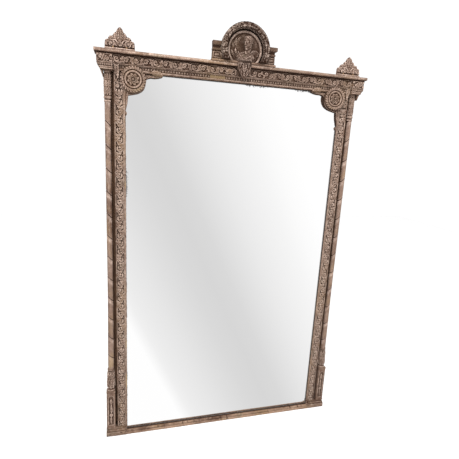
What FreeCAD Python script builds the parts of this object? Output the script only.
import FreeCAD, Part
import os

# Trumeau mirror: a tall plate of mirror glass in a carved wooden frame.
# Millimetres. +Z is up, the glass faces -Y, the wall is on the +Y side.
# X = 0 is the centre line, Z = 0 the surface the plinths stand on, and
# Y = 0 is both the front arris of the side lips and the middle of the depth.

V = FreeCAD.Vector

# ---- driving dimensions -------------------------------------------------
SIGHT_W = 1000.0          # visible glass width
SIGHT_BOTTOM = 15.0       # height of the glass's visible bottom edge
SIGHT_TOP = 1728.0        # height of the glass's visible top edge
REBATE = 8.5              # how far the glass runs behind the lips
REBATE_W = 10.0           # width of the rebate itself
GLASS_Y, GLASS_T = 7.5, 5.0

STILE_X0, STILE_X1 = 515.0, 584.0      # carcass stile, inner and outer edge
CARC_Y0, CARC_Y1 = 21.0, 51.0          # carcass front and back faces
CARC_TOP = 1794.0
RAIL_TOP_Z, RAIL_BOTTOM_Z = 1742.0, 72.0
BOARD_T = 10.0                         # back boards
BOARD_LAP = 15.0                       # how far they lap onto the carcass

PIL_X0, PIL_X1, PIL_Y = 500.0, 547.0, -3.0      # carved pilaster strip
COL_X, COL_Y, COL_R = 572.5, 8.5, 12.0          # turned column
DRUM_X = 574.5
SHAFT_Z0, SHAFT_Z1 = 368.0, 1604.0
PED_X0, PED_X1, PED_Y = 557.0, 596.0, -11.0
PED_Z1 = 247.0
PLINTH_X, PLINTH_Y, PLINTH_H = 598.5, -21.0, 38.0

ARCH_Y, ARCH_Z1 = -10.0, 1755.0                 # architrave face and top
LAT_Z0, LAT_Z1 = 1738.0, 1750.5                 # sunk lattice band
FRIEZE_Y, FRIEZE_Z1 = -16.0, 1789.0
END_X0, END_X1, END_Y = 550.0, 613.0, -24.0     # frieze end blocks
BED_X, BED_Y = 616.0, -25.0
SLAB_X, SLAB_Y, SLAB_Z1 = 622.0, -31.0, 1807.0

ROUND_X, ROUND_Z, ROUND_R = 469.5, 1701.0, 53.0  # corner roundel
SPAN_Y = -2.0
FIN_X, FIN_Y0, FIN_Y1 = 521.0, -30.0, -8.0
CREST_Z, CREST_R, CREST_RI = 1862.0, 107.0, 84.0
CREST_FRONT, CREST_MID, CREST_REAR = -60.0, -17.0, -8.0
STEP_X, STEP_Z1 = 146.0, 1815.0
BLOCK_X, BLOCK_Z1 = 141.0, 1883.0

RING_X, RING_Z = 550.0, 1460.0                  # hanger knuckle axis
RING_R, WIRE_R = 18.0, 2.0
KN_R, KN_BORE, KN_HALF, STRAP_T = 4.5, 2.3, 9.0, 2.0
KN_Y = CARC_Y1 + KN_R

os.makedirs("parts", exist_ok=True)


# ---- helpers ------------------------------------------------------------
def box(x0, x1, y0, y1, z0, z1):
    return Part.makeBox(x1 - x0, y1 - y0, z1 - z0, V(x0, y0, z0))


def prism_y(pts, y0, y1):
    """Outline in X, Z extruded along Y."""
    w = Part.makePolygon([V(x, y0, z) for x, z in pts] + [V(pts[0][0], y0, pts[0][1])])
    return Part.Face(w).extrude(V(0, y1 - y0, 0))


def prism_x(pts, x0, x1):
    """Outline in Y, Z extruded along X."""
    w = Part.makePolygon([V(x0, y, z) for y, z in pts] + [V(x0, pts[0][0], pts[0][1])])
    return Part.Face(w).extrude(V(x1 - x0, 0, 0))


def prism_z(pts, z0, z1):
    """Outline in X, Y extruded along Z."""
    w = Part.makePolygon([V(x, y, z0) for x, y in pts] + [V(pts[0][0], pts[0][1], z0)])
    return Part.Face(w).extrude(V(0, 0, z1 - z0))


def turned_z(profile, cx, cy):
    """Radius, height points turned about a vertical axis at cx, cy."""
    pts = [V(cx, cy, profile[0][1])] + [V(cx + r, cy, z) for r, z in profile]
    pts += [V(cx, cy, profile[-1][1]), V(cx, cy, profile[0][1])]
    return Part.Face(Part.makePolygon(pts)).revolve(V(cx, cy, 0), V(0, 0, 1), 360)


def turned_y(profile, cx, cz):
    """Radius, depth points turned about an axis along Y at cx, cz."""
    pts = [V(cx + r, y, cz) for r, y in profile]
    pts += [pts[0]]
    return Part.Face(Part.makePolygon(pts)).revolve(V(cx, 0, cz), V(0, 1, 0), 360)


def cyl_y(x, z, r, y0, y1):
    return Part.makeCylinder(r, y1 - y0, V(x, y0, z), V(0, 1, 0))


def mirrored(shape):
    return shape.mirror(V(0, 0, 0), V(1, 0, 0))


nodes = {}


def add(name, shape):
    nodes[name] = shape


def add_pair(name, shape):
    """shape is built on the left; the right one is its mirror image."""
    nodes["left_" + name] = shape
    nodes["right_" + name] = mirrored(shape)


# ---- glass, and the blocks that hold it forward in its rebate --------------
half = SIGHT_W / 2
glass_back = GLASS_Y + GLASS_T
floor_z = SIGHT_BOTTOM - 8.0
roof_z = SIGHT_TOP + REBATE_W
add("mirror_plate", box(-half - REBATE, half + REBATE, GLASS_Y, glass_back, floor_z, SIGHT_TOP + REBATE))

blocks = []
for z in (240, 600, 960, 1320, 1610):
    for s in (-1, 1):
        x0, x1 = sorted((s * (half + REBATE_W), s * (half + REBATE_W - 18)))
        blocks.append(box(x0, x1, glass_back, CARC_Y0, z - 25, z + 25))
for x in (-300, 0, 300):
    blocks.append(box(x - 25, x + 25, glass_back, CARC_Y0, roof_z - 18, roof_z))
    blocks.append(box(x - 25, x + 25, glass_back, CARC_Y0, floor_z, floor_z + 18))
add("glazing_blocks", Part.makeCompound(blocks))

# ---- carcass: stiles and rails, mortised, tenoned and pegged ---------------
board_y = CARC_Y1 - BOARD_T
bottom_lap, top_lap = RAIL_BOTTOM_Z - BOARD_LAP, RAIL_TOP_Z + BOARD_LAP
stile = box(-STILE_X1, -STILE_X0, CARC_Y0, CARC_Y1, 0, CARC_TOP)
stile = stile.cut(box(-STILE_X0 - BOARD_LAP, -STILE_X0, board_y, CARC_Y1, bottom_lap, top_lap))
top_rail = box(-STILE_X0, STILE_X0, CARC_Y0, CARC_Y1, RAIL_TOP_Z, CARC_TOP)
top_rail = top_rail.cut(box(-STILE_X0, STILE_X0, board_y, CARC_Y1, RAIL_TOP_Z, top_lap))
bottom_rail = box(-STILE_X0, STILE_X0, CARC_Y0, CARC_Y1, 0, RAIL_BOTTOM_Z)
bottom_rail = bottom_rail.cut(box(-STILE_X0, STILE_X0, board_y, CARC_Y1, bottom_lap, RAIL_BOTTOM_Z))
TENON, TEN_Y0, TEN_Y1 = 42.0, 30.0, 40.0
for s in (-1, 1):
    x0, x1 = sorted((s * STILE_X0, s * (STILE_X0 + TENON)))
    top_rail = top_rail.fuse(box(x0, x1, TEN_Y0, TEN_Y1, 1762, 1786))
    bottom_rail = bottom_rail.fuse(box(x0, x1, TEN_Y0, TEN_Y1, 10, 50))
top_rail = top_rail.removeSplitter()
bottom_rail = bottom_rail.removeSplitter()
stile = stile.cut(box(-STILE_X0 - TENON, -STILE_X0, TEN_Y0, TEN_Y1, 1762, 1786))
stile = stile.cut(box(-STILE_X0 - TENON, -STILE_X0, TEN_Y0, TEN_Y1, 10, 50))

pegs = []
for s in (-1, 1):
    for x, z in ((538, 1774), (538, 20), (538, 40)):
        pegs.append(cyl_y(s * x, z, 4.0, 24, CARC_Y1))
        hole = cyl_y(s * x, z, 4.1, 24, CARC_Y1 + 1)
        if s < 0:
            stile = stile.cut(hole)
        top_rail = top_rail.cut(hole)
        bottom_rail = bottom_rail.cut(hole)
add("tenon_pegs", Part.makeCompound(pegs))

# back boards: four upright boards, screwed to the rails top and bottom
bx = STILE_X0 + BOARD_LAP - 0.5
pitch = 2 * bx / 4
board_screws = []
for i in range(4):
    x0 = -bx + i * pitch
    b = box(x0, x0 + pitch - 1.0, board_y, CARC_Y1, bottom_lap + 0.5, top_lap - 0.5)
    for x in (x0 + 45, x0 + pitch - 46):
        for z in (bottom_lap + 7.5, top_lap - 7.5):
            hole = cyl_y(x, z, 1.7, 30, CARC_Y1).fuse(cyl_y(x, z, 3.6, 49, CARC_Y1 + 1))
            b = b.cut(hole)
            top_rail = top_rail.cut(hole)
            bottom_rail = bottom_rail.cut(hole)
            board_screws.append(
                cyl_y(x, z, 1.6, 30, 49).fuse(cyl_y(x, z, 3.5, 49, CARC_Y1 - 0.2)).removeSplitter()
            )
    add("back_board_%d" % (i + 1), b)
add("back_board_screws", Part.makeCompound(board_screws))

# ---- hangers: strap with a rolled knuckle, a D ring and two screws ----------
ks = -RING_X
strap = box(ks - KN_HALF, ks + KN_HALF, CARC_Y1, CARC_Y1 + STRAP_T, RING_Z - 60, RING_Z)
strap = strap.fuse(Part.makeCylinder(KN_R, 2 * KN_HALF, V(ks - KN_HALF, KN_Y, RING_Z), V(1, 0, 0)))
strap = strap.cut(Part.makeCylinder(KN_BORE, 40, V(ks - 20, KN_Y, RING_Z), V(1, 0, 0))).removeSplitter()
screws = []
for dz in (30, 50):
    z = RING_Z - dz
    strap = strap.cut(cyl_y(ks, z, 2.3, CARC_Y1 - 1, CARC_Y1 + 3))
    one = cyl_y(ks, z, 2.0, 27, CARC_Y1 + STRAP_T)
    one = one.fuse(cyl_y(ks, z, 4.2, CARC_Y1 + STRAP_T, CARC_Y1 + 4)).removeSplitter()
    screws += [one, mirrored(one)]
    stile = stile.cut(cyl_y(ks, z, 2.1, 26.8, CARC_Y1 + 1))
add_pair("hanger_strap", strap)
ring = Part.makeCylinder(WIRE_R, 2 * RING_R, V(ks - RING_R, KN_Y, RING_Z), V(1, 0, 0))
loop = Part.makeTorus(RING_R, WIRE_R, V(ks, KN_Y, RING_Z), V(0, 1, 0))
ring = ring.fuse(loop.common(box(ks - 30, ks + 30, KN_Y - 10, KN_Y + 10, RING_Z - 30, RING_Z)))
for s in (-1, 1):
    ring = ring.fuse(Part.makeSphere(WIRE_R, V(ks + s * RING_R, KN_Y, RING_Z)))
add_pair("hanger_ring", ring.removeSplitter())
add("hanger_screws", Part.makeCompound(screws))

add_pair("stile", stile)
add("top_rail", top_rail)
add("bottom_rail", bottom_rail)

# ---- sides: carved pilaster strips and turned columns -----------------------
wall = half + REBATE_W
pil = prism_z(
    [(-PIL_X1, CARC_Y0), (-PIL_X1, PIL_Y), (-540, PIL_Y), (-540, -0.5), (-512, -0.5), (-512, 0),
     (-PIL_X0, 0), (-PIL_X0, GLASS_Y), (-wall, GLASS_Y), (-wall, CARC_Y0)],
    PLINTH_H, SIGHT_TOP)
add_pair("pilaster", pil)

# the back of each turned collar is planed flat against the stile
flat = box(-700, -400, CARC_Y0, 90, 0, 1800)
add_pair("column_shaft", turned_z([(COL_R, SHAFT_Z0), (COL_R, SHAFT_Z1)], -COL_X, COL_Y))
capital = turned_z(
    [(12.0, 1604), (14.2, 1607), (14.2, 1613), (12.8, 1616), (14.6, 1620), (14.6, 1627),
     (13.2, 1630), (13.2, 1700), (13.8, 1716), (14.6, 1723), (14.6, SIGHT_TOP)],
    -COL_X, COL_Y)
add_pair("column_capital", capital.cut(flat))
drum = turned_z(
    [(17.0, PED_Z1), (17.0, 254), (15.5, 258), (14.0, 262), (15.5, 268), (17.0, 276), (17.2, 290),
     (16.0, 320), (14.5, 348), (14.8, 360), (13.2, 365), (12.0, SHAFT_Z0)],
    -DRUM_X, COL_Y)
add_pair("column_drum", drum.cut(flat))

# pedestal: a block with a round-headed sunk panel in its face
ped = box(-PED_X1, -PED_X0, PED_Y, CARC_Y0, PLINTH_H, PED_Z1)
pcx = -(PED_X0 + PED_X1) / 2
panel = box(pcx - 11.5, pcx + 11.5, PED_Y - 1, PED_Y + 4, 60, 212)
panel = panel.fuse(cyl_y(pcx, 212, 11.5, PED_Y - 1, PED_Y + 4))
add_pair("pedestal", ped.cut(panel))

plinth = prism_x(
    [(CARC_Y0, 0), (CARC_Y0, PLINTH_H), (-13, PLINTH_H), (-13, 34), (-18, 29), (PLINTH_Y, 23), (PLINTH_Y, 0)],
    -PLINTH_X, -PIL_X0)
plinth = plinth.cut(box(-wall, -PIL_X0 + 1, GLASS_Y, CARC_Y0 + 1, floor_z, PLINTH_H + 2))
add_pair("plinth", plinth)

moulding = prism_x(
    [(GLASS_Y, SIGHT_BOTTOM), (GLASS_Y, floor_z), (CARC_Y0, floor_z), (CARC_Y0, 0), (PLINTH_Y, 0),
     (PLINTH_Y, 3.5), (-18, 8), (-10, 11.5), (-3, 14.5), (0, SIGHT_BOTTOM)],
    -PIL_X0, PIL_X0)
add("bottom_moulding", moulding)

# ---- head: architrave, lattice strip, frieze, end blocks, cornice -----------
arch = prism_x(
    [(ARCH_Y, SIGHT_TOP), (GLASS_Y, SIGHT_TOP), (GLASS_Y, roof_z), (CARC_Y0, roof_z),
     (CARC_Y0, ARCH_Z1), (ARCH_Y, ARCH_Z1), (ARCH_Y, LAT_Z1), (ARCH_Y + 4, LAT_Z1),
     (ARCH_Y + 4, LAT_Z0), (ARCH_Y, LAT_Z0)],
    -END_X0, END_X0)
add("architrave", arch)
add("lattice_strip", box(-END_X0, END_X0, ARCH_Y + 1, ARCH_Y + 4, LAT_Z0, LAT_Z1))
add("frieze_board", box(-END_X0, END_X0, FRIEZE_Y, CARC_Y0, ARCH_Z1, FRIEZE_Z1))

end = prism_y([(-613, FRIEZE_Z1), (-613, 1741), (-607, 1731), (-605, SIGHT_TOP), (-550, SIGHT_TOP), (-550, FRIEZE_Z1)],
              END_Y, CARC_Y0)
end = end.fuse(box(-END_X1, -STILE_X1, CARC_Y0, CARC_Y1, 1741, FRIEZE_Z1))
# a small console under each end, on the outer side of the column's collar
end = end.fuse(prism_y([(-605, SIGHT_TOP), (-600, 1720), (-594, 1710), (-589, 1702), (-587.5, 1702), (-587.5, SIGHT_TOP)],
                       -12, CARC_Y0))
end = end.fuse(prism_y([(-613, 1741), (-607, 1731), (-600, 1720), (-594, 1710), (-589, 1702), (-STILE_X1, 1702), (-STILE_X1, 1741)],
                       CARC_Y0, CARC_Y1))
add_pair("frieze_end", end.removeSplitter())

bed = box(-BED_X, BED_X, BED_Y, CARC_Y1, FRIEZE_Z1, CARC_TOP)
bed = bed.cut(box(-STILE_X1, STILE_X1, CARC_Y0, CARC_Y1 + 1, FRIEZE_Z1 - 1, CARC_TOP + 1))
add("cornice_bed", bed)
slab = box(-SLAB_X, SLAB_X, SLAB_Y, CARC_Y1, CARC_TOP, SLAB_Z1)

# ---- top corners: scalloped spandrels with turned roundels ------------------
sp = [(-500, SIGHT_TOP), (-345, SIGHT_TOP), (-346, 1725), (-350, 1720), (-365, 1715.5), (-380, 1713),
      (-398, 1713), (-408, 1710), (-414, 1707), (-416.5, 1701), (-417, 1691), (-419, 1679),
      (-424, 1666), (-433, 1656), (-448, 1647), (-468, 1641.5), (-489, 1637), (-490, 1626),
      (-492, 1606), (-496, 1591), (-500, 1573)]
add_pair("spandrel", prism_y(sp, SPAN_Y, GLASS_Y))
rcx, rcz = -ROUND_X, ROUND_Z
front = ARCH_Y
roundel = turned_y(
    [(0, front), (ROUND_R, front), (ROUND_R, front - 4), (51, front - 7.5), (47, front - 8), (44, front - 5),
     (37, front - 4), (35, front - 7.5), (31, front - 8), (28, front - 5.5), (27, front - 2), (0, front - 2)], rcx, rcz)
# the part of the disc beside the glass is thick enough to reach the spandrel
packing = cyl_y(rcx, rcz, ROUND_R, front, SPAN_Y).common(box(-PIL_X0, -380, -40, 20, 1600, SIGHT_TOP))
roundel = roundel.fuse(packing.common(prism_y(sp, -40, 20))).removeSplitter()
add_pair("roundel", roundel)
rosette = turned_y(
    [(0, front - 2), (26, front - 2), (24, front - 5), (18, front - 8), (10, front - 8.5), (8, front - 10),
     (4, front - 11.5), (0, front - 11.5)], rcx, rcz)
add_pair("rosette", rosette)
leaf = prism_y([(-546, 1754), (-525, 1754), (-525, 1745), (-525, 1722), (-526, 1700), (-530, 1696),
                (-534, 1700), (-541, 1722), (-546, 1745)], -18, ARCH_Y)
leaf = leaf.fuse(prism_y([(-542, SIGHT_TOP), (-525, SIGHT_TOP), (-526, 1700), (-530, 1696), (-534, 1700), (-541, 1722)],
                         ARCH_Y, PIL_Y))
add_pair("leaf_bracket", leaf.cut(cyl_y(rcx, rcz, ROUND_R + 0.3, -60, 20)).removeSplitter())

# ---- acroteria on the ends of the cornice -----------------------------------
fo = [(-58.5, 0), (-56, 14), (-54.5, 29), (-49, 33), (-43, 37), (-38, 46), (-30, 47.5), (-22, 52.5),
      (-19, 60), (-12, 67), (-7, 76), (0, 81)]
fo = fo + [(-x, z) for x, z in reversed(fo[:-1])]
fin = prism_y([(-FIN_X + x, SLAB_Z1 + z) for x, z in fo], FIN_Y0, FIN_Y1)
dowels = []
for dx in (-26, 26):
    d = Part.makeCylinder(4.0, 26, V(-FIN_X + dx, -19, SLAB_Z1 - 11), V(0, 0, 1))
    hole = Part.makeCylinder(4.1, 26.2, V(-FIN_X + dx, -19, SLAB_Z1 - 11.1), V(0, 0, 1))
    fin = fin.cut(hole)
    slab = slab.cut(hole).cut(mirrored(hole))
    dowels += [d, mirrored(d)]
add("finial_dowels", Part.makeCompound(dowels))
add_pair("finial", fin)
add("cornice_slab", slab)

# ---- crest ------------------------------------------------------------------
step = box(-STEP_X, STEP_X, -36, CREST_REAR, SLAB_Z1, STEP_Z1)
add("crest_step", step)
above = box(-400, 400, -100, 100, STEP_Z1, 2200)
add("crest_back", cyl_y(0, CREST_Z, CREST_R - 3, CREST_MID, CREST_REAR).common(above))
hood = cyl_y(0, CREST_Z, CREST_R, CREST_FRONT, CREST_MID)
hood = hood.cut(cyl_y(0, CREST_Z, CREST_RI, CREST_FRONT - 1, CREST_MID + 1)).common(above)
add("crest_arch", hood)
med = turned_y([(0, CREST_MID), (75, CREST_MID), (77, -20), (77, -34), (74, -37), (70, -34), (68, -30), (0, -30)], 0, CREST_Z)
add("medallion", med.common(above))
head = Part.makeSphere(24, V(-2, -33, 1886))
neck = Part.makeCylinder(14, 45, V(0, -40, 1840), V(0, 0, 1))
chest = prism_z([(-40, -30), (40, -30), (40, -38), (22, -50), (-22, -50), (-40, -38)], STEP_Z1, 1852)
bust = head.fuse(neck).fuse(chest).cut(box(-100, 100, -30, 40, 1800, 2000)).removeSplitter()
add("relief_bust", bust)
gap = cyl_y(0, CREST_Z, CREST_R + 0.3, -100, 40)
blk = box(-BLOCK_X, -88, -30, -10, STEP_Z1, 1869)
blk = blk.fuse(box(-BLOCK_X - 6, -88, -35, CREST_REAR, 1869, BLOCK_Z1)).cut(gap)
blk = blk.cut(box(-134, -108, -31, -27, 1821, 1844)).removeSplitter()
add_pair("crest_block", blk)
brace = prism_x([(CREST_REAR, SLAB_Z1), (30, SLAB_Z1), (30, SLAB_Z1 + 14), (0, 1900), (CREST_REAR, 1900)], -76, -50)
add_pair("crest_brace", brace)

pend = prism_y([(-31, 1815), (31, 1815), (31, 1800), (27, 1780), (12, 1753), (3, 1741), (-3, 1741), (-12, 1753),
                (-27, 1780), (-31, 1800)], -44, FRIEZE_Y)
pend = pend.cut(slab).cut(bed).cut(step)
pend = pend.cut(box(-60, 60, -32, 0, 1700, ARCH_Z1))
add("pendant", pend)

# ---- write one file for each node ---------------------------------------------
for name, shape in nodes.items():
    shape.exportStep("parts/" + name + ".step")
